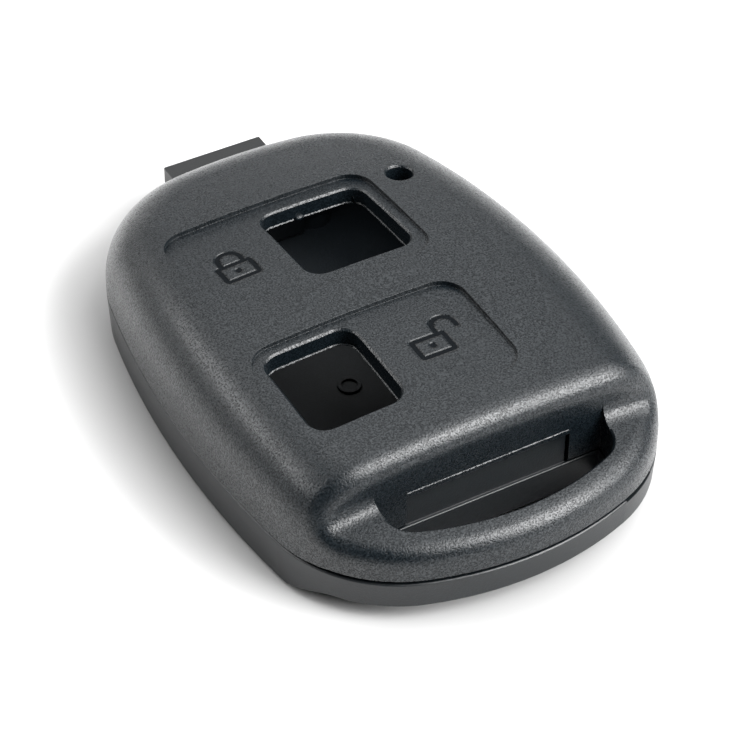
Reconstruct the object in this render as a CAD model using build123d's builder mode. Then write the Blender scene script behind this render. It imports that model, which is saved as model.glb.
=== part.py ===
from build123d import *
import os
from math import degrees, radians, sin, sqrt

# Key fob shell, in millimetres: a front casing with two button windows, a
# rear casing, the socket that carries the key blade, and their fastenings.
# Origin: bottom centre of the whole shell. +Z is up, towards the buttons,
# and +Y points to the blade end. The fob lies on its flat back.

# Outline, seen from above, as tangent arcs on one side and mirrored
WIDTH = 42.0
WIDEST_Y = -3.85
SIDE_RADIUS = 107.7
SIDE_TURN_TO_BLADE = 11.4
BLADE_CORNER_RADIUS = 13.9
BLADE_CORNER_TURN = 73.6
SIDE_TURN_TO_RING = 8.3
RING_CORNER_RADIUS = 13.8
RING_CORNER_TURN = 63.1

# Levels
PARTING_Z = 5.0
REVEAL = 0.16
CROWN_TOP = 15.1
CROWN_RADIUS = 175.0
CROWN_Y = -6.25
LOOP_DROP = 4.45

# Front casing
WALL = 1.6
SHOULDER_RADIUS = 6.8
CAVITY_CHAMFER = 3.6
FRONT_DRAFT = 1.0
RIDGE_Y = -23.5
RIDGE_RADIUS = 2.2
RIDGE_FOOT_RADIUS = 1.7
RIM_CHAMFER = 0.2
PARTING_CHAMFER = 0.12
SLOT_WALL_ROUND = 0.15

# Relief of the front casing's lower edge round the ring end
RELIEF_START_Y = -20.0
RELIEF_END_Y = -25.5
RELIEF_HEIGHT = 0.32

# Button windows and the recess that frames each of them
WINDOW_CORNER = 1.8
LOCK_WINDOW = (1.22, 7.45, 11.5, 11.8)
UNLOCK_WINDOW = (-9.69, -11.7, 9.5, 11.1)
LOCK_RECESS = [(-14.36, 15.2), (8.2, 15.2), (8.2, -0.4), (-15.93, -0.4)]
UNLOCK_RECESS = [(-15.6, -5.0), (6.9, -5.0), (6.9, -18.7), (-15.6, -18.7)]
RECESS_CORNER = 2.6
LOCK_RECESS_FLOOR = (0.0, -3.4, -0.09)
UNLOCK_RECESS_FLOOR = (-1.05, -3.85, -0.43)
WINDOW_FRAME_WIDTH = 0.9
WINDOW_FRAME_DROP = 2.3
RIB_THICKNESS = 0.9
CROSS_RIB_ROWS = (-2.9, 18.0)
CROSS_RIB_REACH = 13.5
CROSS_RIB_DROP = 2.6
PAD_PEGS = [(-12.5, 4.5), (-12.5, 12.0), (3.5, -8.0), (3.5, -15.0)]
PAD_PEG_RADIUS = 0.7
PAD_PEG_DROP = 3.2

# Indicator hole
LED_PLACE = (11.42, 12.62)
LED_RADIUS = 1.35
LED_COLLAR_RADIUS = 2.3
LED_COLLAR_DROP = 3.0

# Key ring slot
SLOT_HALF_WIDTH = 12.2
SLOT_END_Y = -29.75
SLOT_FAR_RADIUS = 26.5
SLOT_CORNER_RADIUS = 3.0
SLOT_SIDE_LEAN = 0.6

# Joint between the casings: a lip on the rear one in a groove of the front
LIP_OUTER_INSET = 0.9
LIP_THICKNESS = 0.7
LIP_CLEARANCE = 0.15
LIP_HEIGHT = 1.15
DOWEL_PLACE = (13.8, -25.4)
DOWEL_RADIUS = 0.9
DOWEL_TOP = 7.4
DOWEL_CLEARANCE = 0.1
PRY_NOTCH = Location((12.9, -29.6, 5.0), (0, 0, 28.8))
PRY_LENGTH = 4.6
PRY_HEIGHT = 0.5
PRY_DEPTH = 0.7

# Rear casing
REAR_DRAFT = 2.6
FLOOR = 1.4
REAR_EDGE = 0.35
TOE_START_Y = -19.45
TOE_ANGLE = 21.8
TOE_RISE = 2.1
TOE_KINK_RADIUS = 0.8
TOE_BLEND_RADIUS = 3.0
TONGUE_HALF_WIDTH = 8.5
TONGUE_TOP = 8.4
TONGUE_SETBACK = 0.35
TONGUE_THICKNESS = 1.1
TONGUE_CLEARANCE = 0.2
BOARD_RAIL_X = 15.6
BOARD_RAIL_LENGTH = 20.0
RIB_HEIGHT = 1.3
CHIP_POCKET = (-8.2, 15.6, 12.4, 6.2)
FLOOR_MARK = (-1.9, -0.9)
FLOOR_MARK_RADIUS = 1.2
FLOOR_MARK_WIDTH = 0.4
FLOOR_MARK_HEIGHT = 0.25

# Case screw, driven from the back
SCREW_Y = -17.6
SCREW_SHANK_RADIUS = 0.9
SCREW_HEAD_RADIUS = 1.6
SCREW_HEAD_HEIGHT = 1.3
SCREW_LENGTH = 8.0
HEAD_SEAT_Z = 2.6
RUNNING_CLEARANCE = 0.05
COUNTERBORE_RADIUS = 1.8
SHANK_HOLE_RADIUS = 1.1
TOWER_RADIUS = 2.8
TOWER_TOP = 5.3
BOSS_RADIUS = 2.6

# Blade socket
SOCKET_HALF_WIDTH = 5.6
SOCKET_END_Y = 32.2
SOCKET_BACK_Y = 22.0
SOCKET_BOTTOM = 1.8
SOCKET_TOP = 7.7
SOCKET_CLEARANCE = 0.1
EAR_HALF_WIDTH = 9.6
EAR_BOTTOM = 3.4
EAR_THICKNESS = 1.2
EAR_FRONT_Y = 26.2
EAR_CORNER = 1.5
EAR_SCREW_PLACE = (7.6, 24.2)
EAR_SCREW_RADIUS = 0.8
EAR_SCREW_CLEARANCE = 0.2
EAR_SCREW_LENGTH = 3.8
EAR_TIP_ROOM = 0.1
EAR_HEAD_RADIUS = 1.5
EAR_HEAD_HEIGHT = 0.9
POST_RADIUS = 2.0
SOCKET_EDGE = 0.25
BLADE_WIDTH = 8.2
BLADE_GAP = 2.3
BLADE_DEPTH = 9.0
PIN_Y = 25.4
PIN_RADIUS = 0.8
PIN_SHEET = 0.25
PIN_SINK = 0.3

FRONT_BOTTOM = PARTING_Z + REVEAL / 2
REAR_TOP = PARTING_Z - REVEAL / 2
CROWN_CENTRE = (0, CROWN_Y, CROWN_TOP - CROWN_RADIUS)
CROWN_AXIS = Axis(CROWN_CENTRE, (0, 1, 0))
LOOP_RADIUS = CROWN_RADIUS - LOOP_DROP
CAVITY_END_Y = RIDGE_Y + WALL
LOOP_BACK_Y = RIDGE_Y - RIDGE_FOOT_RADIUS
LIP_INNER_INSET = LIP_OUTER_INSET + LIP_THICKNESS
LIP_TOP = REAR_TOP + LIP_HEIGHT
DOWEL_PLACES = [DOWEL_PLACE, (-DOWEL_PLACE[0], DOWEL_PLACE[1])]
EAR_SCREW_PLACES = [EAR_SCREW_PLACE, (-EAR_SCREW_PLACE[0], EAR_SCREW_PLACE[1])]
EAR_TOP = EAR_BOTTOM + EAR_THICKNESS
BLADE_Z = (SOCKET_BOTTOM + SOCKET_TOP) / 2
SKY = 40.0


# Outline of the casings, seen from above
with BuildSketch() as plan:
    with BuildLine():
        upper_side = JernArc((WIDTH / 2, WIDEST_Y), (0, 1), SIDE_RADIUS, SIDE_TURN_TO_BLADE)
        blade_corner = JernArc(
            upper_side @ 1, upper_side % 1, BLADE_CORNER_RADIUS, BLADE_CORNER_TURN
        )
        blade_turn = 90 - SIDE_TURN_TO_BLADE - BLADE_CORNER_TURN
        blade_radius = (blade_corner @ 1).X / sin(radians(blade_turn))
        blade_edge = JernArc(blade_corner @ 1, blade_corner % 1, blade_radius, blade_turn)
        lower_side = JernArc((WIDTH / 2, WIDEST_Y), (0, -1), SIDE_RADIUS, -SIDE_TURN_TO_RING)
        ring_corner = JernArc(
            lower_side @ 1, lower_side % 1, RING_CORNER_RADIUS, -RING_CORNER_TURN
        )
        ring_turn = 90 - SIDE_TURN_TO_RING - RING_CORNER_TURN
        ring_radius = (ring_corner @ 1).X / sin(radians(ring_turn))
        ring_edge = JernArc(ring_corner @ 1, ring_corner % 1, ring_radius, -ring_turn)
        mirror(about=Plane.YZ)
    make_face()
BLADE_END_Y = (blade_edge @ 1).Y
RING_END_Y = (ring_edge @ 1).Y


def inset_plan(inset):
    """The outline, set in by the given distance."""
    with BuildSketch(mode=Mode.PRIVATE) as inner:
        add(plan.sketch)
        if inset > 0:
            offset(amount=-inset)
    return inner.sketch


def plan_band(outer_inset, inner_inset):
    """The band between two insets of the outline."""
    with BuildSketch(mode=Mode.PRIVATE) as band:
        add(inset_plan(outer_inset))
        add(inset_plan(inner_inset), mode=Mode.SUBTRACT)
    return band.sketch


def ring_slot():
    """Key ring slot: straight towards the body, curved outside."""
    with BuildSketch(mode=Mode.PRIVATE) as slot:
        with BuildLine():
            near = Line((0, RIDGE_Y), (SLOT_HALF_WIDTH, RIDGE_Y))
            far_x = SLOT_HALF_WIDTH - SLOT_SIDE_LEAN
            far_sag = SLOT_FAR_RADIUS - sqrt(SLOT_FAR_RADIUS**2 - far_x**2)
            side = Line(near @ 1, (far_x, SLOT_END_Y + far_sag))
            RadiusArc(side @ 1, (0, SLOT_END_Y), SLOT_FAR_RADIUS)
            mirror(about=Plane.YZ)
        make_face()
        far_corners = slot.vertices().group_by(Axis.Y)[0]
        fillet(far_corners, SLOT_CORNER_RADIUS)
    return slot.sketch


def crowned_form(inset):
    """Solid under the crown, over the whole outline, set in from the outside."""
    with BuildPart() as form:
        with BuildSketch(Plane.XY.offset(FRONT_BOTTOM)):
            add(inset_plan(inset))
        extrude(amount=CROWN_TOP, taper=FRONT_DRAFT)
        with Locations(CROWN_CENTRE):
            Sphere(CROWN_RADIUS - inset, rotation=(90, 0, 0), mode=Mode.INTERSECT)
    return form.part


def crown_rim(form):
    """The edges round the crown of a crowned form."""
    return form.faces().sort_by(Axis.Z)[-1].edges()


def window(place, margin):
    """A button window, as (centre x, centre y, width, height), with a margin."""
    x, y, width, height = place
    with BuildSketch(mode=Mode.PRIVATE) as opening:
        with Locations((x, y)):
            RectangleRounded(width + 2 * margin, height + 2 * margin, WINDOW_CORNER + margin)
    return opening.sketch


def under_crown(shape, drop):
    """A rib or boss of the given plan that hangs from the inside of the crown."""
    with BuildPart() as hanging:
        with BuildSketch(Plane.XY.offset(TOWER_TOP)):
            add(shape)
        extrude(amount=SKY)
        with Locations(CROWN_CENTRE):
            Sphere(CROWN_RADIUS - WALL / 2, rotation=(90, 0, 0), mode=Mode.INTERSECT)
            if drop:
                Sphere(CROWN_RADIUS - drop, rotation=(90, 0, 0), mode=Mode.SUBTRACT)
    return hanging.part


def recess_cutter(corners, floor_shift):
    """The shallow recess round a window. Its floor is the crown, shifted so that it runs out."""
    with BuildPart() as cutter:
        with BuildSketch(Plane.XY.offset(CROWN_TOP - 2 * WALL)) as recess:
            with BuildLine():
                Polyline(corners, close=True)
            make_face()
            fillet(recess.vertices(), RECESS_CORNER)
        extrude(amount=SKY)
        with Locations(Vector(CROWN_CENTRE) + Vector(floor_shift)):
            Sphere(CROWN_RADIUS, rotation=(90, 0, 0), mode=Mode.SUBTRACT)
    return cutter.part


def crown_height(radius, y):
    """Height over x = 0 of a sphere about the centre of the crown."""
    return CROWN_CENTRE[2] + sqrt(radius**2 - (y - CROWN_Y) ** 2)


# The space over the loop: it cuts the step, with a concave blend at its foot
with BuildPart() as over_loop:
    with BuildSketch(Plane.YZ) as step_side:
        with BuildLine():
            foot = (RIDGE_Y, crown_height(LOOP_RADIUS, RIDGE_Y))
            beyond_y = RIDGE_Y - SKY / 2
            beyond = (beyond_y, crown_height(LOOP_RADIUS, beyond_y))
            RadiusArc(foot, beyond, -LOOP_RADIUS)
            Polyline(beyond, (beyond_y, SKY), (RIDGE_Y, SKY), foot)
        make_face()
        fillet(step_side.vertices().sort_by_distance(foot)[0], RIDGE_FOOT_RADIUS)
    half_turn = degrees(WIDTH / LOOP_RADIUS)
    revolve(axis=CROWN_AXIS, revolution_arc=2 * half_turn)

# Front casing, outside: crown, step and loop, with one round that runs along the
# ridge, down past the foot of the step and on round the loop
with BuildPart() as stepped_form:
    add(crowned_form(0))
    fillet(crown_rim(stepped_form), SHOULDER_RADIUS)
    add(over_loop.part.rotate(CROWN_AXIS, -half_turn), mode=Mode.SUBTRACT)
    loop_top = stepped_form.faces().filter_by(GeomType.SPHERE).sort_by(Axis.Z)[0]
    fillet(loop_top.edges().sort_by(Axis.Y)[:3], RIDGE_RADIUS)

with BuildPart() as ring_cutter:
    with BuildSketch(Plane.XY.offset(SKY)):
        add(ring_slot())
    extrude(amount=-2 * SKY)

# The loop by itself, so that the round of the slot's rim ends before the step
with BuildPart() as loop:
    add(stepped_form)
    with Locations((0, LOOP_BACK_Y + SKY, 0)):
        Box(2 * SKY, 2 * SKY, 2 * SKY, mode=Mode.SUBTRACT)
    add(ring_cutter, mode=Mode.SUBTRACT)
    loop_top = loop.faces().filter_by(GeomType.SPHERE).sort_by(Axis.Z)[0]
    slot_rim = loop_top.edges().filter_by(
        lambda edge: abs(edge.center().X) < SLOT_HALF_WIDTH
        and SLOT_END_Y - 0.1 < edge.center().Y < LOOP_BACK_Y - 0.1
    )
    chamfer(slot_rim, RIM_CHAMFER)

# Everything under the parting line, which rises a little round the ring end
with BuildPart() as under_front:
    with BuildSketch(Plane.YZ):
        with BuildLine():
            Polyline(
                (RELIEF_START_Y, FRONT_BOTTOM),
                (RELIEF_END_Y, FRONT_BOTTOM + RELIEF_HEIGHT),
                (-SKY, FRONT_BOTTOM + RELIEF_HEIGHT),
                (-SKY, 0),
                (RELIEF_START_Y, 0),
                close=True,
            )
        make_face()
    extrude(amount=WIDTH, both=True)


# Inside of the hump, and the parts of it that hang from the crown
with BuildPart() as cavity:
    add(crowned_form(WALL))
    chamfer(crown_rim(cavity), CAVITY_CHAMFER)
    with BuildSketch(Plane.XY.offset(FRONT_BOTTOM)):
        add(inset_plan(WALL))
    extrude(amount=-REVEAL)
    with Locations((0, CAVITY_END_Y - SKY, 0)):
        Box(2 * SKY, 2 * SKY, 2 * SKY, mode=Mode.SUBTRACT)

with BuildPart() as front_casing:
    add(stepped_form)
    with Locations((0, LOOP_BACK_Y - SKY, 0)):
        Box(2 * SKY, 2 * SKY, 2 * SKY, mode=Mode.SUBTRACT)
    add(ring_cutter, mode=Mode.SUBTRACT)
    add(loop)
    chamfer(front_casing.faces().sort_by(Axis.Z)[0].outer_wire().edges(), PARTING_CHAMFER)
    add(under_front, mode=Mode.SUBTRACT)

    # Recesses, windows and indicator hole, and the rims of the holes chamfered
    for corners, floor_shift in (
        (LOCK_RECESS, LOCK_RECESS_FLOOR),
        (UNLOCK_RECESS, UNLOCK_RECESS_FLOOR),
    ):
        add(recess_cutter(corners, floor_shift), mode=Mode.SUBTRACT)
    for place in (LOCK_WINDOW, UNLOCK_WINDOW):
        with BuildSketch(Plane.XY.offset(CROWN_TOP)):
            add(window(place, 0))
        extrude(amount=-CROWN_TOP / 2, mode=Mode.SUBTRACT)
    with Locations((*LED_PLACE, CROWN_TOP)):
        Hole(LED_RADIUS, CROWN_TOP / 2)
    crown_wires = front_casing.faces().filter_by(GeomType.SPHERE).wires()
    hole_rims = [rim for rim in crown_wires if rim.length < 4 * max(LOCK_WINDOW)]
    chamfer([edge for rim in hole_rims for edge in rim.edges()], RIM_CHAMFER)
    add(cavity, mode=Mode.SUBTRACT)

    # Bosses, window frames and ribs under the crown
    with BuildSketch(mode=Mode.PRIVATE) as screw_boss:
        with Locations((0, SCREW_Y)):
            Circle(BOSS_RADIUS)
    with BuildSketch(mode=Mode.PRIVATE) as led_collar:
        with Locations(LED_PLACE):
            Circle(LED_COLLAR_RADIUS)
            Circle(LED_RADIUS, mode=Mode.SUBTRACT)
    with BuildSketch(mode=Mode.PRIVATE) as cross_ribs:
        for rib_y in CROSS_RIB_ROWS:
            with Locations((0, rib_y)):
                Rectangle(2 * CROSS_RIB_REACH, RIB_THICKNESS)
    with BuildSketch(mode=Mode.PRIVATE) as pad_pegs:
        with Locations(*PAD_PEGS):
            Circle(PAD_PEG_RADIUS)
    for place in (LOCK_WINDOW, UNLOCK_WINDOW):
        with BuildSketch(mode=Mode.PRIVATE) as window_frame:
            add(window(place, WINDOW_FRAME_WIDTH))
            add(window(place, 0), mode=Mode.SUBTRACT)
        add(under_crown(window_frame.sketch, WINDOW_FRAME_DROP))
    add(under_crown(screw_boss.sketch, 0))
    add(under_crown(led_collar.sketch, LED_COLLAR_DROP))
    add(under_crown(cross_ribs.sketch, CROSS_RIB_DROP))
    add(under_crown(pad_pegs.sketch, PAD_PEG_DROP))

    # Groove for the lip of the rear casing, and the openings in the wall
    with BuildSketch(Plane.XY.offset(FRONT_BOTTOM - REVEAL)):
        add(plan_band(LIP_OUTER_INSET - LIP_CLEARANCE, LIP_INNER_INSET + LIP_CLEARANCE))
    extrude(amount=LIP_TOP - FRONT_BOTTOM + REVEAL, mode=Mode.SUBTRACT)
    with Locations((0, SOCKET_END_Y, FRONT_BOTTOM)):
        Box(
            2 * (SOCKET_HALF_WIDTH + SOCKET_CLEARANCE),
            2 * (SOCKET_END_Y - SOCKET_BACK_Y),
            2 * (SOCKET_TOP + SOCKET_CLEARANCE - FRONT_BOTTOM),
            mode=Mode.SUBTRACT,
        )
    with Locations((0, RIDGE_Y, FRONT_BOTTOM)):
        Box(
            2 * (TONGUE_HALF_WIDTH + TONGUE_CLEARANCE),
            2 * (WALL + TONGUE_CLEARANCE),
            2 * (TONGUE_TOP + TONGUE_CLEARANCE - FRONT_BOTTOM),
            mode=Mode.SUBTRACT,
        )
    over_tongue = (0, RIDGE_Y, TONGUE_TOP + TONGUE_CLEARANCE)
    fillet(front_casing.edges().filter_by(Axis.X).sort_by_distance(over_tongue)[0], SLOT_WALL_ROUND)
    with BuildSketch(Plane.XY.offset(FRONT_BOTTOM - REVEAL)):
        with Locations(*DOWEL_PLACES):
            Circle(DOWEL_RADIUS + DOWEL_CLEARANCE)
    extrude(amount=DOWEL_TOP + DOWEL_CLEARANCE - FRONT_BOTTOM + REVEAL, mode=Mode.SUBTRACT)
    with Locations((0, SCREW_Y, TOWER_TOP)):
        with Locations(Location((0, 0, 0), (180, 0, 0))):
            Hole(SCREW_SHANK_RADIUS + RUNNING_CLEARANCE, SCREW_LENGTH)
    with Locations(PRY_NOTCH):
        Box(PRY_LENGTH, 2 * PRY_DEPTH, PRY_HEIGHT + REVEAL, mode=Mode.SUBTRACT)
front_casing.part.label = "front_casing"


# Everything under the rear casing, whose underside turns up at the ring end
with BuildPart() as under_rear:
    with BuildSketch(Plane.YZ) as toe_side:
        with BuildLine():
            kink = JernArc((TOE_START_Y, 0), (-1, 0), TOE_KINK_RADIUS, -TOE_ANGLE)
            ramp_length = (TOE_RISE - (kink @ 1).Y) / sin(radians(TOE_ANGLE))
            ramp = PolarLine(kink @ 1, ramp_length, direction=kink % 1)
            below = [(-SKY, TOE_RISE), (-SKY, -SKY), (TOE_START_Y, -SKY)]
            Polyline(ramp @ 1, *below, kink @ 0)
        make_face()
        fillet(toe_side.vertices().sort_by_distance(ramp @ 1)[0], TOE_BLEND_RADIUS)
    extrude(amount=WIDTH, both=True)

# Room inside the rear casing, with its floor kept above the ramp
with BuildPart() as tray_room:
    with BuildSketch(Plane.XY.offset(FLOOR)):
        add(inset_plan(WALL))
        with Locations((0, CAVITY_END_Y - SKY)):
            Rectangle(2 * SKY, 2 * SKY, mode=Mode.SUBTRACT)
    extrude(amount=SKY)
    add(under_rear.part.moved(Location((0, 0, FLOOR))), mode=Mode.SUBTRACT)

with BuildPart() as rear_casing:
    with BuildSketch(Plane.XY.offset(REAR_TOP)):
        add(plan.sketch)
    extrude(amount=-REAR_TOP, taper=REAR_DRAFT)
    chamfer(rear_casing.faces().sort_by(Axis.Z)[0].edges(), REAR_EDGE)
    chamfer(rear_casing.faces().sort_by(Axis.Z)[-1].edges(), PARTING_CHAMFER)
    add(under_rear, mode=Mode.SUBTRACT)
    add(tray_room, mode=Mode.SUBTRACT)

    # Lip that enters the groove of the front casing, and the two dowels
    with BuildSketch(Plane.XY.offset(REAR_TOP)):
        add(plan_band(LIP_OUTER_INSET, LIP_INNER_INSET))
    extrude(amount=LIP_HEIGHT)
    with BuildSketch(Plane.XY.offset(REAR_TOP)):
        with Locations(*DOWEL_PLACES):
            Circle(DOWEL_RADIUS)
    extrude(amount=DOWEL_TOP - REAR_TOP)

    # Key ring slot, with the tongue that closes its wall towards the body
    with BuildSketch(Plane.XY.offset(SKY)):
        add(ring_slot())
    extrude(amount=-2 * SKY, mode=Mode.SUBTRACT)
    slot_wall_top = (0, RIDGE_Y, REAR_TOP)
    fillet(rear_casing.edges().filter_by(Axis.X).sort_by_distance(slot_wall_top)[0], SLOT_WALL_ROUND)
    tongue_y = RIDGE_Y + TONGUE_SETBACK + TONGUE_THICKNESS / 2
    with BuildSketch(Plane.XY.offset(REAR_TOP - RUNNING_CLEARANCE)):
        with Locations((0, tongue_y)):
            Rectangle(2 * TONGUE_HALF_WIDTH, TONGUE_THICKNESS)
    extrude(amount=TONGUE_TOP - REAR_TOP + RUNNING_CLEARANCE)

    # Screw tower with its counterbore, and the posts and ribs on the floor
    with BuildSketch(Plane.XY.offset(FLOOR)):
        with Locations((0, SCREW_Y)):
            Circle(TOWER_RADIUS)
    extrude(amount=TOWER_TOP - FLOOR)
    with Locations(Location((0, SCREW_Y, 0), (180, 0, 0))):
        CounterBoreHole(SHANK_HOLE_RADIUS, COUNTERBORE_RADIUS, HEAD_SEAT_Z, SKY)
    with BuildSketch(Plane.XY.offset(FLOOR)):
        with Locations(*EAR_SCREW_PLACES):
            Circle(POST_RADIUS)
    extrude(amount=EAR_BOTTOM - FLOOR)
    with BuildSketch(Plane.XY.offset(FLOOR)):
        with Locations((-BOARD_RAIL_X, 0), (BOARD_RAIL_X, 0)):
            Rectangle(RIB_THICKNESS, BOARD_RAIL_LENGTH)
        with Locations(CHIP_POCKET[:2]):
            Rectangle(CHIP_POCKET[2] + 2 * RIB_THICKNESS, CHIP_POCKET[3] + 2 * RIB_THICKNESS)
            Rectangle(CHIP_POCKET[2], CHIP_POCKET[3], mode=Mode.SUBTRACT)
            Rectangle(CHIP_POCKET[2] / 2, 2 * CHIP_POCKET[3], mode=Mode.SUBTRACT)
    extrude(amount=RIB_HEIGHT)
    with BuildSketch(Plane.XY.offset(FLOOR)):
        with Locations(FLOOR_MARK):
            Circle(FLOOR_MARK_RADIUS)
            Circle(FLOOR_MARK_RADIUS - FLOOR_MARK_WIDTH, mode=Mode.SUBTRACT)
    extrude(amount=FLOOR_MARK_HEIGHT)
    with BuildSketch(Plane.XY.offset(EAR_BOTTOM)):
        with Locations(*EAR_SCREW_PLACES):
            Circle(EAR_SCREW_RADIUS)
    extrude(amount=EAR_THICKNESS - EAR_SCREW_LENGTH - EAR_TIP_ROOM, mode=Mode.SUBTRACT)
    with Locations((0, SOCKET_END_Y, REAR_TOP)):
        Box(
            2 * (SOCKET_HALF_WIDTH + SOCKET_CLEARANCE),
            2 * (SOCKET_END_Y - SOCKET_BACK_Y),
            2 * (REAR_TOP - SOCKET_BOTTOM + SOCKET_CLEARANCE),
            mode=Mode.SUBTRACT,
        )
    with Locations(PRY_NOTCH):
        Box(PRY_LENGTH, 2 * PRY_DEPTH, PRY_HEIGHT + REVEAL, mode=Mode.SUBTRACT)
rear_casing.part.label = "rear_casing"

# Blade socket: a block with a slot for the blade and an ear on each side
with BuildPart() as blade_socket:
    with BuildSketch(Plane.XY.offset(SOCKET_BOTTOM)) as socket_plan:
        with Locations((0, (SOCKET_END_Y + SOCKET_BACK_Y) / 2)):
            Rectangle(2 * SOCKET_HALF_WIDTH, SOCKET_END_Y - SOCKET_BACK_Y)
        chamfer(socket_plan.vertices().group_by(Axis.Y)[-1], SOCKET_EDGE)
    extrude(amount=SOCKET_TOP - SOCKET_BOTTOM)
    end_face = blade_socket.faces().sort_by(Axis.Y)[-1]
    fillet(end_face.edges().filter_by(Axis.X), SOCKET_EDGE)
    with BuildSketch(Plane.XY.offset(EAR_BOTTOM)) as ears:
        with Locations((0, (EAR_FRONT_Y + SOCKET_BACK_Y) / 2)):
            RectangleRounded(2 * EAR_HALF_WIDTH, EAR_FRONT_Y - SOCKET_BACK_Y, EAR_CORNER)
    extrude(amount=EAR_THICKNESS)
    with BuildSketch(Plane.XZ.offset(-SOCKET_END_Y)):
        with Locations((0, BLADE_Z)):
            Rectangle(BLADE_WIDTH, BLADE_GAP)
    extrude(amount=BLADE_DEPTH, mode=Mode.SUBTRACT)
    with Locations((0, PIN_Y, SOCKET_TOP)):
        Hole(PIN_RADIUS)
    with Locations(*[(x, y, EAR_TOP) for x, y in EAR_SCREW_PLACES]):
        Hole(EAR_SCREW_RADIUS + EAR_SCREW_CLEARANCE)
blade_socket.part.label = "blade_socket"

# Roll pin that crosses the blade slot
with BuildPart() as blade_pin:
    with BuildSketch(Plane.XY.offset(SOCKET_BOTTOM + PIN_SINK)):
        with Locations((0, PIN_Y)):
            Circle(PIN_RADIUS)
            Circle(PIN_RADIUS - PIN_SHEET, mode=Mode.SUBTRACT)
        with Locations((0, PIN_Y + PIN_RADIUS)):
            Rectangle(PIN_SHEET, 2 * PIN_RADIUS, mode=Mode.SUBTRACT)
    extrude(amount=SOCKET_TOP - SOCKET_BOTTOM - 2 * PIN_SINK)
blade_pin.part.label = "blade_pin"


def pan_screw(shank_radius, length, head_radius, head_height):
    """Self-tapping pan head screw with a cross recess, head down at z = 0."""
    recess_reach = 0.6 * head_radius
    recess_width = 0.25 * head_radius
    tip = shank_radius
    with BuildPart() as screw:
        with BuildSketch(Plane.XZ):
            with BuildLine():
                Polyline(
                    (0, -head_height),
                    (0.7 * head_radius, -head_height),
                    (head_radius, -0.5 * head_height),
                    (head_radius, 0),
                    (shank_radius, 0),
                    (shank_radius, length - tip),
                    (0.2 * shank_radius, length),
                    (0, length),
                    (0, -head_height),
                )
            make_face()
        revolve(axis=Axis.Z)
        with BuildSketch(Plane.XY.offset(-head_height)):
            Rectangle(2 * recess_reach, recess_width)
            Rectangle(recess_width, 2 * recess_reach)
        extrude(amount=0.6 * head_height, mode=Mode.SUBTRACT)
    return screw.part


# Case screw, driven up from the back, and the two screws of the socket
with BuildPart() as case_screw:
    with Locations((0, SCREW_Y, HEAD_SEAT_Z)):
        add(pan_screw(SCREW_SHANK_RADIUS, SCREW_LENGTH, SCREW_HEAD_RADIUS, SCREW_HEAD_HEIGHT))
case_screw.part.label = "case_screw"

with BuildPart() as socket_screws:
    with Locations(*[Location((x, y, EAR_TOP), (180, 0, 0)) for x, y in EAR_SCREW_PLACES]):
        add(pan_screw(EAR_SCREW_RADIUS, EAR_SCREW_LENGTH, EAR_HEAD_RADIUS, EAR_HEAD_HEIGHT))
socket_screws.part.label = "socket_screws"

os.makedirs("parts", exist_ok=True)
for piece in (front_casing, rear_casing, blade_socket, blade_pin, socket_screws, case_screw):
    export_step(piece.part, f"parts/{piece.part.label}.step")

length = SOCKET_END_Y - RING_END_Y
print(f"overall {WIDTH:.1f} x {length:.1f} x {CROWN_TOP:.1f} mm")
print(f"blade end y {BLADE_END_Y:.2f}, ring end y {RING_END_Y:.2f}")
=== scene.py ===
import math

import bmesh
import bpy
from mathutils import Matrix, Vector


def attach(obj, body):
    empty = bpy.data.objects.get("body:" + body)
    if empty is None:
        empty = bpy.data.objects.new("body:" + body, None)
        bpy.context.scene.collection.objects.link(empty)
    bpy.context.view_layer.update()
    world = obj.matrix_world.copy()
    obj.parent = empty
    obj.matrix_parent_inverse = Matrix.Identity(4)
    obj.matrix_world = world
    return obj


# Looks of the key fob shell, and the studio that it lies in. Sizes and places are in
# millimetres where no comment says otherwise, and MM turns them into metres.
MM = 0.001

# Plastic: the stretch of the grain's noise that shows as flecks, the slow drift in the
# gloss, and how far the drift and the grain swing the roughness
FLECKS = (0.43, 0.64)
DRIFT_SIZE = 9
DRIFT_SWING = 0.1
GRAIN_SWING = 0.3

# Flecks that glint have a clear coat, and the plastic under it mirrors less, so that
# it isn't paler all over
COAT_ROUGHNESS = 0.3
PLASTIC_IOR = 1.5
GLINT_IOR_LOSS = 0.2

# The rear casing is duller inside its walls: half width, half length and middle along Y
DULL_HALF_WIDTH = 17.4
DULL_HALF_LENGTH = 21.0
DULL_MIDDLE = 3.0
DULL_EDGE = (-0.1, 0.1)
WALL_ROUGHNESS = 0.36
INSIDE_ROUGHNESS = 0.76

# Steel: the size and depth of its grain, and the radius of its edges
STEEL_GRAIN_SIZE = 0.3
STEEL_GRAIN_DEPTH = 0.004
STEEL_EDGE = 0.1

# Two engraved signs, a shut padlock beside the upper window and an open one beside the
# lower window. Each has a round-cornered body, a hook over it and a keyhole.
SHUT_SIGN = (-9.9, 7.5)
OPEN_SIGN = (0.4, -11.6)
STROKE = 0.6
BODY_HALF = (1.7, 1.2)
BODY_CORNER = 0.25
BODY_DROP = 0.95
HOOK_RADIUS = 1.15
HOOK_RISE = 1.1
HOOK_FOOT = 0.35
KEYHOLE_RADIUS = 0.38

# The strokes' depth, where their sides slope, and where the painted shade on their floor begins and is full,
# by the distance from their edge, which is less than 0 inside them
STROKE_DEPTH = 0.25
STROKE_SIDE = (-0.1, 0.12)
STROKE_SHADE_SPAN = (0.0, -0.1)
# Strength and colour of the painted shade on the strokes' floor
STROKE_SHADE_STRENGTH = 0.93
STROKE_SHADE_COLOUR = (0.003, 0.004, 0.005)

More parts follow.
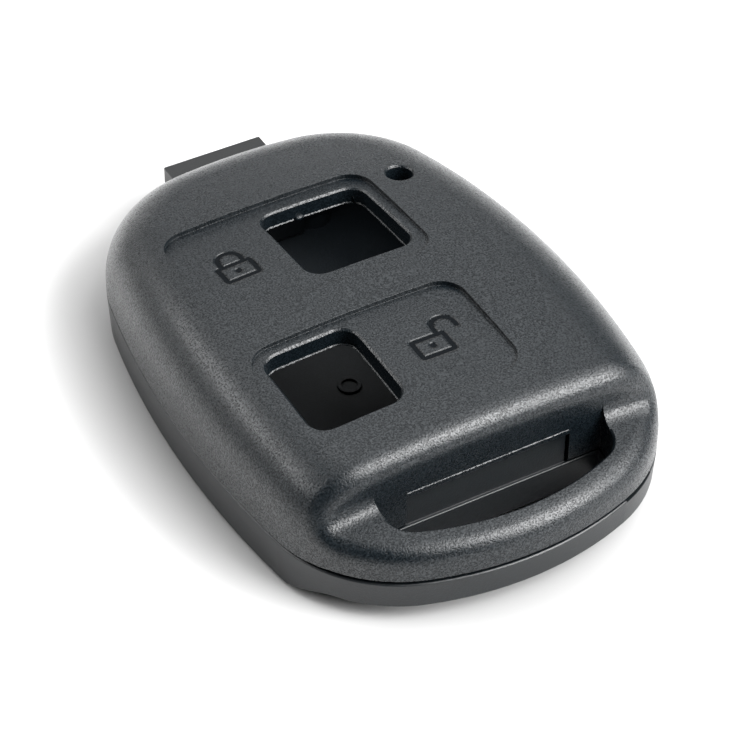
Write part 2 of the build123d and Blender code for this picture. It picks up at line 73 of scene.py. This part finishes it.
# Button windows: the middle in X and Y, and the size in X and Y
LOCK_WINDOW = (1.22, 7.45, 11.5, 11.8)
UNLOCK_WINDOW = (-9.69, -11.7, 9.5, 11.1)
WINDOW_CORNER = 1.8

# The lower edge of each window's wall is looked for between these heights, and this
# close to the window's outline
EDGE_FLOOR = 11
LOCK_EDGE_LIMIT = 12.9
UNLOCK_EDGE_LIMIT = 13.5
ON_OUTLINE = 0.004

# Bead of a window: each corner of its section, as inset from the wall and rise over the
# edge, and the least step from one section to the next
BEAD_SECTION = ((-0.02, 0.14), (0.11, 0.0), (-0.02, -0.1))
BEAD_STEP = 0.12

# Moulding pip in the wall of the upper window: its place and its radii
PIP = (0.3, 13.3, 11.85)
PIP_RADII = (0.55, 0.35, 0.28)

# Bead of the slot: a square bar along X, turned on edge
SLOT_BEAD = (-0.1, -23.49, 9.2)
SLOT_BEAD_LENGTH = 17.3
SLOT_BEAD_WIDTH = 0.13

# The floor, whose side is in metres, is painted darker inside an ellipse round the shell, given by its half
# axes, as a painted shadow, and grows pale between these multiples of it
FLOOR_SIDE = 5
FLOOR_ROUGHNESS = 0.8
FLOOR_PAINTED_SHADOW = (0.38, 0.38, 0.38)
FLOOR_FAR = (0.76, 0.76, 0.76)
FLOOR_SHADOW_ELLIPSE = (21, 31)
FLOOR_SHADOW_FADE = (1.0, 1.65)

# Studio lights: their distance in metres, and for each its azimuth and elevation in
# degrees, its width and height in metres, and its brightness
LIGHT_DISTANCE = 0.7
LIGHTS = {
    "main_box": (144, 37, 0.35, 0.52, 18.0),
    "front_panel": (170, 54, 0.2, 0.45, 7.5),
    "right_panel": (112, 38, 0.3, 0.42, 4.5),
    "right_high_panel": (85, 50, 0.4, 0.35, 3.6),
    "left_strip": (-52, 31, 0.6, 0.17, 8.5),
    "left_panel": (-76, 42, 0.25, 0.25, 1.2),
    "back_panel": (10, 50, 0.75, 0.45, 1.6),
    "low_back_panel": (20, 12, 0.9, 0.22, 1.1),
    "top_panel": (20, 84, 0.55, 0.55, 1.9),
}
ROOM_BRIGHTNESS = 0.03

# A small lamp inside the shell, which lifts the floor under the upper window
FILL_PLACE = (5, 17, 9.5)
FILL_SIZE = (12, 8)
FILL_COLOUR = (0.75, 0.88, 1.0)
FILL_BRIGHTNESS = 1.1

# Camera: where it stands, in degrees seen from the shell, its lens, and how far the
# picture is shifted, in widths of the picture
CAMERA_AZIMUTH = 209.224
CAMERA_ELEVATION = 41.588
CAMERA_DISTANCE = 263.23
LOOK_AT = (0, 4.06, 0)
FOCAL_LENGTH = 126.33
SENSOR_WIDTH = 36
SHIFT_RIGHT = 0.0445
SHIFT_UP = -0.0185
CLIP_START = 10

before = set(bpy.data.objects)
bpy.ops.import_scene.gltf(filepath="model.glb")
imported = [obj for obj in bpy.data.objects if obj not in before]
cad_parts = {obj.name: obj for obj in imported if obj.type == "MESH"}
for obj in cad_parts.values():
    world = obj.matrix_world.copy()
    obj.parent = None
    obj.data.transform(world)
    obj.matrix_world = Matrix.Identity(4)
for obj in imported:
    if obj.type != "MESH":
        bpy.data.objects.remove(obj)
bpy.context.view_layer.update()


class Value:
    """A socket of a material, so that shader maths reads as an expression."""

    def __init__(self, finish, socket):
        self.finish = finish
        self.socket = socket

    def maths(self, operation, *others):
        inputs = dict(enumerate((self, *others)))
        return self.finish.node("Math", {"operation": operation}, inputs)

    def __add__(self, other):
        return self.maths("ADD", other)

    __radd__ = __add__

    def __mul__(self, other):
        return self.maths("MULTIPLY", other)

    __rmul__ = __mul__

    def __sub__(self, other):
        return self.maths("SUBTRACT", other)

    def __rsub__(self, other):
        return (self * -1) + other

    def __pow__(self, other):
        return self.maths("POWER", other)


class Finish:
    """A material and its nodes."""

    def __init__(self, name):
        self.material = bpy.data.materials.new(name)
        self.material.use_nodes = True
        self.tree = self.material.node_tree
        self.surface = self.tree.nodes["Principled BSDF"]

    def node(self, kind, settings, inputs, output=0):
        """Adds a node: its settings first, then the values or links of its sockets."""
        made = self.tree.nodes.new("ShaderNode" + kind)
        for key, value in settings.items():
            setattr(made, key, value)
        for key, value in inputs.items():
            self.feed(made.inputs[key], value)
        return Value(self, made.outputs[output])

    def feed(self, socket, value):
        if isinstance(value, Value):
            self.tree.links.new(value.socket, socket)
        else:
            socket.default_value = value

    def set(self, **values):
        """Sets the surface's own sockets, by their names with underscores for spaces."""
        for key, value in values.items():
            self.feed(self.surface.inputs[key.replace("_", " ")], value)

    def place(self):
        return self.node("TexCoord", {}, {}, "Object")

    def noise(self, size, detail=2.0, roughness=0.5):
        """Noise from 0 to 1, with features of about the given size."""
        inputs = {"Vector": self.place(), "Scale": 1 / (size * MM), "Detail": detail, "Roughness": roughness}
        return self.node("TexNoise", {}, inputs, "Fac")

    def spread(self, value, low, high):
        """A value stretched so that low becomes 0 and high becomes 1."""
        return self.node("MapRange", {}, {0: value, 1: low, 2: high})

    def across(self, axis, start=0):
        """Distance along an axis from a start, both in millimetres."""
        return self.node("SeparateXYZ", {}, {0: self.place()}, axis) * (1 / MM) - start

    def rounded_edges(self, radius):
        """Normals that turn round the sharp edges over the given radius."""
        return self.node("Bevel", {"samples": 8}, {"Radius": radius * MM})

    def bump(self, height, depth, normal):
        """Normals of a relief, whose height from 0 to 1 stands for the given depth."""
        inputs = {"Height": height, "Distance": depth * MM, "Normal": normal}
        return self.node("Bump", {}, inputs)

    def shade(self, dark, light, share):
        """A colour between two others, by a value from 0 to 1."""
        colours = {0: share, 6: (*dark, 1), 7: (*light, 1)}
        return self.node("Mix", {"data_type": "RGBA"}, colours, 2)


class GrainedPlastic(Finish):
    """Moulded plastic with a spark-eroded grain, whose flecks may glint."""

    def __init__(self, name, dark, light, grain_size, grain_depth, edge_radius, glint=0.0):
        super().__init__(name)
        self.grain = self.noise(grain_size, roughness=0.55)
        self.relief = self.bump(self.grain, grain_depth, self.rounded_edges(edge_radius))
        fleck = self.spread(self.grain, *FLECKS)
        self.set(
            Base_Color=self.shade(dark, light, fleck),
            Coat_Weight=fleck * glint,
            Coat_Roughness=COAT_ROUGHNESS,
            IOR=PLASTIC_IOR - glint * GLINT_IOR_LOSS,
            Normal=self.relief,
        )

    def uneven_gloss(self, roughness):
        """Gloss that follows the grain and drifts over the surface."""
        drift = self.noise(DRIFT_SIZE)
        swung = roughness + swing(drift, DRIFT_SWING) + swing(self.grain, GRAIN_SWING)
        self.set(Roughness=swung)

    def dull_inside(self):
        """Gloss on the outer walls, and a dull surface between them."""
        from_side = DULL_HALF_WIDTH - self.across("X").maths("ABSOLUTE")
        from_end = DULL_HALF_LENGTH - self.across("Y", DULL_MIDDLE).maths("ABSOLUTE")
        inside = self.spread(from_side.maths("MINIMUM", from_end), *DULL_EDGE)
        self.set(Roughness=WALL_ROUGHNESS + inside * (INSIDE_ROUGHNESS - WALL_ROUGHNESS))

    def engrave_with_painted_shade(self, distance):
        """Sinks strokes with sloping sides into the surface as a bump, and paints their floor dark as
        painted shade.
        """
        sunk = self.bump(self.spread(distance, *STROKE_SIDE), STROKE_DEPTH, self.relief)
        self.set(Normal=sunk)
        # The strokes' floor is mixed into a dark, dull surface: painted shade for the shade inside the sunk
        # strokes
        painted_shade_floor = {
            "Base Color": (*STROKE_SHADE_COLOUR, 1),
            "Roughness": 0.7,
            "Specular IOR Level": 0.03,
            "Normal": sunk,
        }
        dark = self.node("BsdfPrincipled", {}, painted_shade_floor)
        plain = Value(self, self.surface.outputs[0])
        share = self.spread(distance, *STROKE_SHADE_SPAN) * STROKE_SHADE_STRENGTH
        both = self.node("MixShader", {}, {0: share, 1: plain, 2: dark})
        self.feed(self.tree.nodes["Material Output"].inputs["Surface"], both)


def swing(noise, size):
    """A noise from 0 to 1, turned into a swing of the given size about 0."""
    return (noise - 0.5) * size


def length(*sides):
    return sum(side * side for side in sides) ** 0.5


def padlock(finish, centre, opened):
    """Distance from the strokes of a padlock sign, seen from above, less than 0 inside them."""
    x = finish.across("X", centre[0])
    y = finish.across("Y", centre[1])
    past_side = x.maths("ABSOLUTE") - (BODY_HALF[0] - BODY_CORNER)
    past_end = (y + BODY_DROP).maths("ABSOLUTE") - (BODY_HALF[1] - BODY_CORNER)
    outside = length(past_side.maths("MAXIMUM", 0.0), past_end.maths("MAXIMUM", 0.0))
    inside = past_side.maths("MAXIMUM", past_end).maths("MINIMUM", 0.0)
    body = (outside + inside - BODY_CORNER).maths("ABSOLUTE") - STROKE / 2
    hook_x = x - 2 * HOOK_RADIUS if opened else x
    arch = length(hook_x, (y - HOOK_RISE).maths("MAXIMUM", 0.0))
    hook = (arch - HOOK_RADIUS).maths("ABSOLUTE") - STROKE / 2
    hook = hook.maths("MAXIMUM", HOOK_FOOT - y)
    keyhole = length(x, y + BODY_DROP) - KEYHOLE_RADIUS
    return body.maths("MINIMUM", hook).maths("MINIMUM", keyhole)


def front_casing_plastic():
    """Satin plastic with glinting flecks, and the two signs engraved in it, with painted shade on their
    strokes' floor.
    """
    plastic = GrainedPlastic(
        "front_plastic",
        dark=(0.0025, 0.0042, 0.0055),
        light=(0.005, 0.0085, 0.0115),
        grain_size=0.17,
        grain_depth=0.06,
        edge_radius=0.12,
        glint=0.7,
    )
    plastic.uneven_gloss(0.3)
    shut_sign = padlock(plastic, SHUT_SIGN, opened=False)
    open_sign = padlock(plastic, OPEN_SIGN, opened=True)
    plastic.engrave_with_painted_shade(shut_sign.maths("MINIMUM", open_sign))
    return plastic.material


def rear_casing_plastic():
    """Smoother plastic, dull inside the walls."""
    plastic = GrainedPlastic(
        "rear_plastic",
        dark=(0.003, 0.004, 0.005),
        light=(0.005, 0.008, 0.01),
        grain_size=0.17,
        grain_depth=0.02,
        edge_radius=0.12,
    )
    plastic.dull_inside()
    return plastic.material


def blade_socket_plastic():
    """Near black satin plastic with a faint grain."""
    plastic = GrainedPlastic(
        "socket_plastic",
        dark=(0.005, 0.0058, 0.0065),
        light=(0.008, 0.009, 0.01),
        grain_size=0.2,
        grain_depth=0.008,
        edge_radius=0.2,
    )
    plastic.uneven_gloss(0.36)
    return plastic.material


def steel(name, colour, roughness):
    """Bare metal with a fine grain."""
    finish = Finish(name)
    grain = finish.noise(STEEL_GRAIN_SIZE, detail=3.0)
    finish.set(
        Base_Color=(*colour, 1),
        Metallic=1.0,
        Roughness=roughness + swing(grain, 0.2),
        Normal=finish.bump(grain, STEEL_GRAIN_DEPTH, finish.rounded_edges(STEEL_EDGE)),
    )
    return finish.material


def dress(node, material):
    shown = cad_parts[node]
    shown.data.materials.clear()
    shown.data.materials.append(material)


def from_outline(window, place):
    """Distance of a place from a window's outline, and the direction out of the window."""
    middle_x, middle_y, size_x, size_y = window
    x = place.x / MM - middle_x
    y = place.y / MM - middle_y
    past = Vector((abs(x) - size_x / 2 + WINDOW_CORNER, abs(y) - size_y / 2 + WINDOW_CORNER))
    if past.x > 0 and past.y > 0:
        out = past.normalized()
        distance = past.length
    else:
        out = Vector((1, 0)) if past.x > past.y else Vector((0, 1))
        distance = max(past)
    return distance - WINDOW_CORNER, Vector((math.copysign(out.x, x), math.copysign(out.y, y), 0))


def lower_edge(window, limit):
    """Corners of the lower edge of a window's wall, in turn, with their directions out of the window."""
    lowest = {}
    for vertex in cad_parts["front_casing"].data.vertices:
        place = vertex.co
        distance, out = from_outline(window, place)
        if abs(distance) < ON_OUTLINE and EDGE_FLOOR * MM < place.z < limit * MM:
            seen_from_above = (round(place.x / MM, 2), round(place.y / MM, 2))
            if seen_from_above not in lowest or place.z < lowest[seen_from_above][0].z:
                lowest[seen_from_above] = (place.copy(), out)
    middle = Vector((window[0], window[1], 0)) * MM

    def angle(corner):
        return math.atan2(corner[0].y - middle.y, corner[0].x - middle.x)

    kept = []
    for place, out in sorted(lowest.values(), key=angle):
        if not kept or (place - kept[-1][0]).length > BEAD_STEP * MM:
            kept.append((place, out))
    return kept


def window_bead(name, window, limit, pip=None):
    """A fine bead along the lower edge of a window's wall, with a moulding pip where one is given."""
    edge = lower_edge(window, limit)
    mesh = bmesh.new()
    loops = []
    for inset, rise in BEAD_SECTION:
        up = Vector((0, 0, rise * MM))
        ring = [mesh.verts.new(place - out * inset * MM + up) for place, out in edge]
        loops.append([mesh.edges.new((ring[i - 1], ring[i])) for i in range(len(ring))])
    for i in range(len(loops)):
        bmesh.ops.bridge_loops(mesh, edges=loops[i - 1] + loops[i])
    if pip:
        stretched = Matrix.LocRotScale(Vector(pip) * MM, None, Vector(PIP_RADII) * MM)
        bmesh.ops.create_uvsphere(mesh, u_segments=16, v_segments=8, radius=1, matrix=stretched)
    on_front(name, mesh)


def slot_bead():
    """A fine bead along the upper edge of the tongue's opening in the key ring slot."""
    mesh = bmesh.new()
    place = Matrix.Translation(Vector(SLOT_BEAD) * MM)
    on_edge = Matrix.Rotation(math.radians(45), 4, "X")
    size = Matrix.Diagonal((SLOT_BEAD_LENGTH * MM, SLOT_BEAD_WIDTH * MM, SLOT_BEAD_WIDTH * MM, 1))
    bmesh.ops.create_cube(mesh, size=1, matrix=place @ on_edge @ size)
    on_front("slot_bead", mesh)


def on_front(name, mesh):
    """Turns the mesh into a piece of the front casing."""
    bmesh.ops.recalc_face_normals(mesh, faces=mesh.faces)
    made = bpy.data.meshes.new(name)
    mesh.to_mesh(made)
    mesh.free()
    made.materials.append(front_plastic)
    piece = bpy.data.objects.new(name, made)
    bpy.context.scene.collection.objects.link(piece)
    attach(piece, "front")


def towards(azimuth, elevation):
    """Direction with the azimuth clockwise from +Y, seen from above, in degrees."""
    turn = math.radians(azimuth)
    rise = math.radians(elevation)
    return Vector((math.sin(turn) * math.cos(rise), math.cos(turn) * math.cos(rise), math.sin(rise)))


def floor():
    bpy.ops.mesh.primitive_plane_add(size=FLOOR_SIDE)
    sheet = bpy.context.object
    sheet.name = "floor"
    finish = Finish("floor_with_painted_shadow")
    half_width, half_length = FLOOR_SHADOW_ELLIPSE
    away = length(finish.across("X") * (1 / half_width), finish.across("Y") * (1 / half_length))
    # The floor's colour is darker near the shell: a painted shadow round it
    finish.set(
        Base_Color=finish.shade(FLOOR_PAINTED_SHADOW, FLOOR_FAR, finish.spread(away, *FLOOR_SHADOW_FADE)),
        Roughness=FLOOR_ROUGHNESS,
    )
    sheet.data.materials.append(finish.material)


def panel(name, width, height, brightness, colour=(1, 1, 1)):
    """A rectangular light, which shines down until it is turned."""
    light = bpy.data.lights.new(name, "AREA")
    light.shape = "RECTANGLE"
    light.size = width
    light.size_y = height
    light.color = colour
    light.energy = brightness * math.pi * width * height
    lamp = bpy.data.objects.new(name, light)
    bpy.context.scene.collection.objects.link(lamp)
    return lamp


def studio_light(name, azimuth, elevation, width, height, brightness):
    """A panel that faces the object from the studio's light distance."""
    lamp = panel(name, width, height, brightness)
    lamp.location = towards(azimuth, elevation) * LIGHT_DISTANCE
    lamp.rotation_euler = (-lamp.location).to_track_quat("-Z", "Y").to_euler()


def inner_fill():
    """A faint glow on the floor under the upper window, beside the view through it."""
    width, height = FILL_SIZE
    lamp = panel("inner_fill", width * MM, height * MM, FILL_BRIGHTNESS, FILL_COLOUR)
    lamp.location = Vector(FILL_PLACE) * MM


def camera():
    data = bpy.data.cameras.new("camera")
    data.sensor_width = SENSOR_WIDTH
    data.lens = FOCAL_LENGTH
    data.shift_x = SHIFT_RIGHT
    data.shift_y = SHIFT_UP
    data.clip_start = CLIP_START * MM
    back = towards(CAMERA_AZIMUTH, CAMERA_ELEVATION)
    shot = bpy.data.objects.new("camera", data)
    shot.location = Vector(LOOK_AT) * MM + back * (CAMERA_DISTANCE * MM)
    shot.rotation_euler = (-back).to_track_quat("-Z", "Y").to_euler()
    bpy.context.scene.collection.objects.link(shot)
    bpy.context.scene.camera = shot


def room():
    """The dim surroundings, and colours shown as they are."""
    world = bpy.data.worlds.new("room")
    world.use_nodes = True
    background = world.node_tree.nodes["Background"]
    background.inputs["Color"].default_value = (1, 1, 1, 1)
    background.inputs["Strength"].default_value = ROOM_BRIGHTNESS
    bpy.context.scene.world = world
    bpy.context.scene.view_settings.view_transform = "Standard"


front_plastic = front_casing_plastic()
screw_steel = steel("screw_steel", (0.55, 0.55, 0.57), 0.3)
dress("front_casing", front_plastic)
dress("rear_casing", rear_casing_plastic())
dress("blade_socket", blade_socket_plastic())
dress("blade_pin", steel("spring_steel", (0.5, 0.5, 0.51), 0.35))
dress("socket_screws", screw_steel)
dress("case_screw", screw_steel)

slot_bead()
window_bead("lock_window_bead", LOCK_WINDOW, LOCK_EDGE_LIMIT, PIP)
window_bead("unlock_window_bead", UNLOCK_WINDOW, UNLOCK_EDGE_LIMIT)

floor()
for name, row in LIGHTS.items():
    studio_light(name, *row)
inner_fill()
camera()
room()
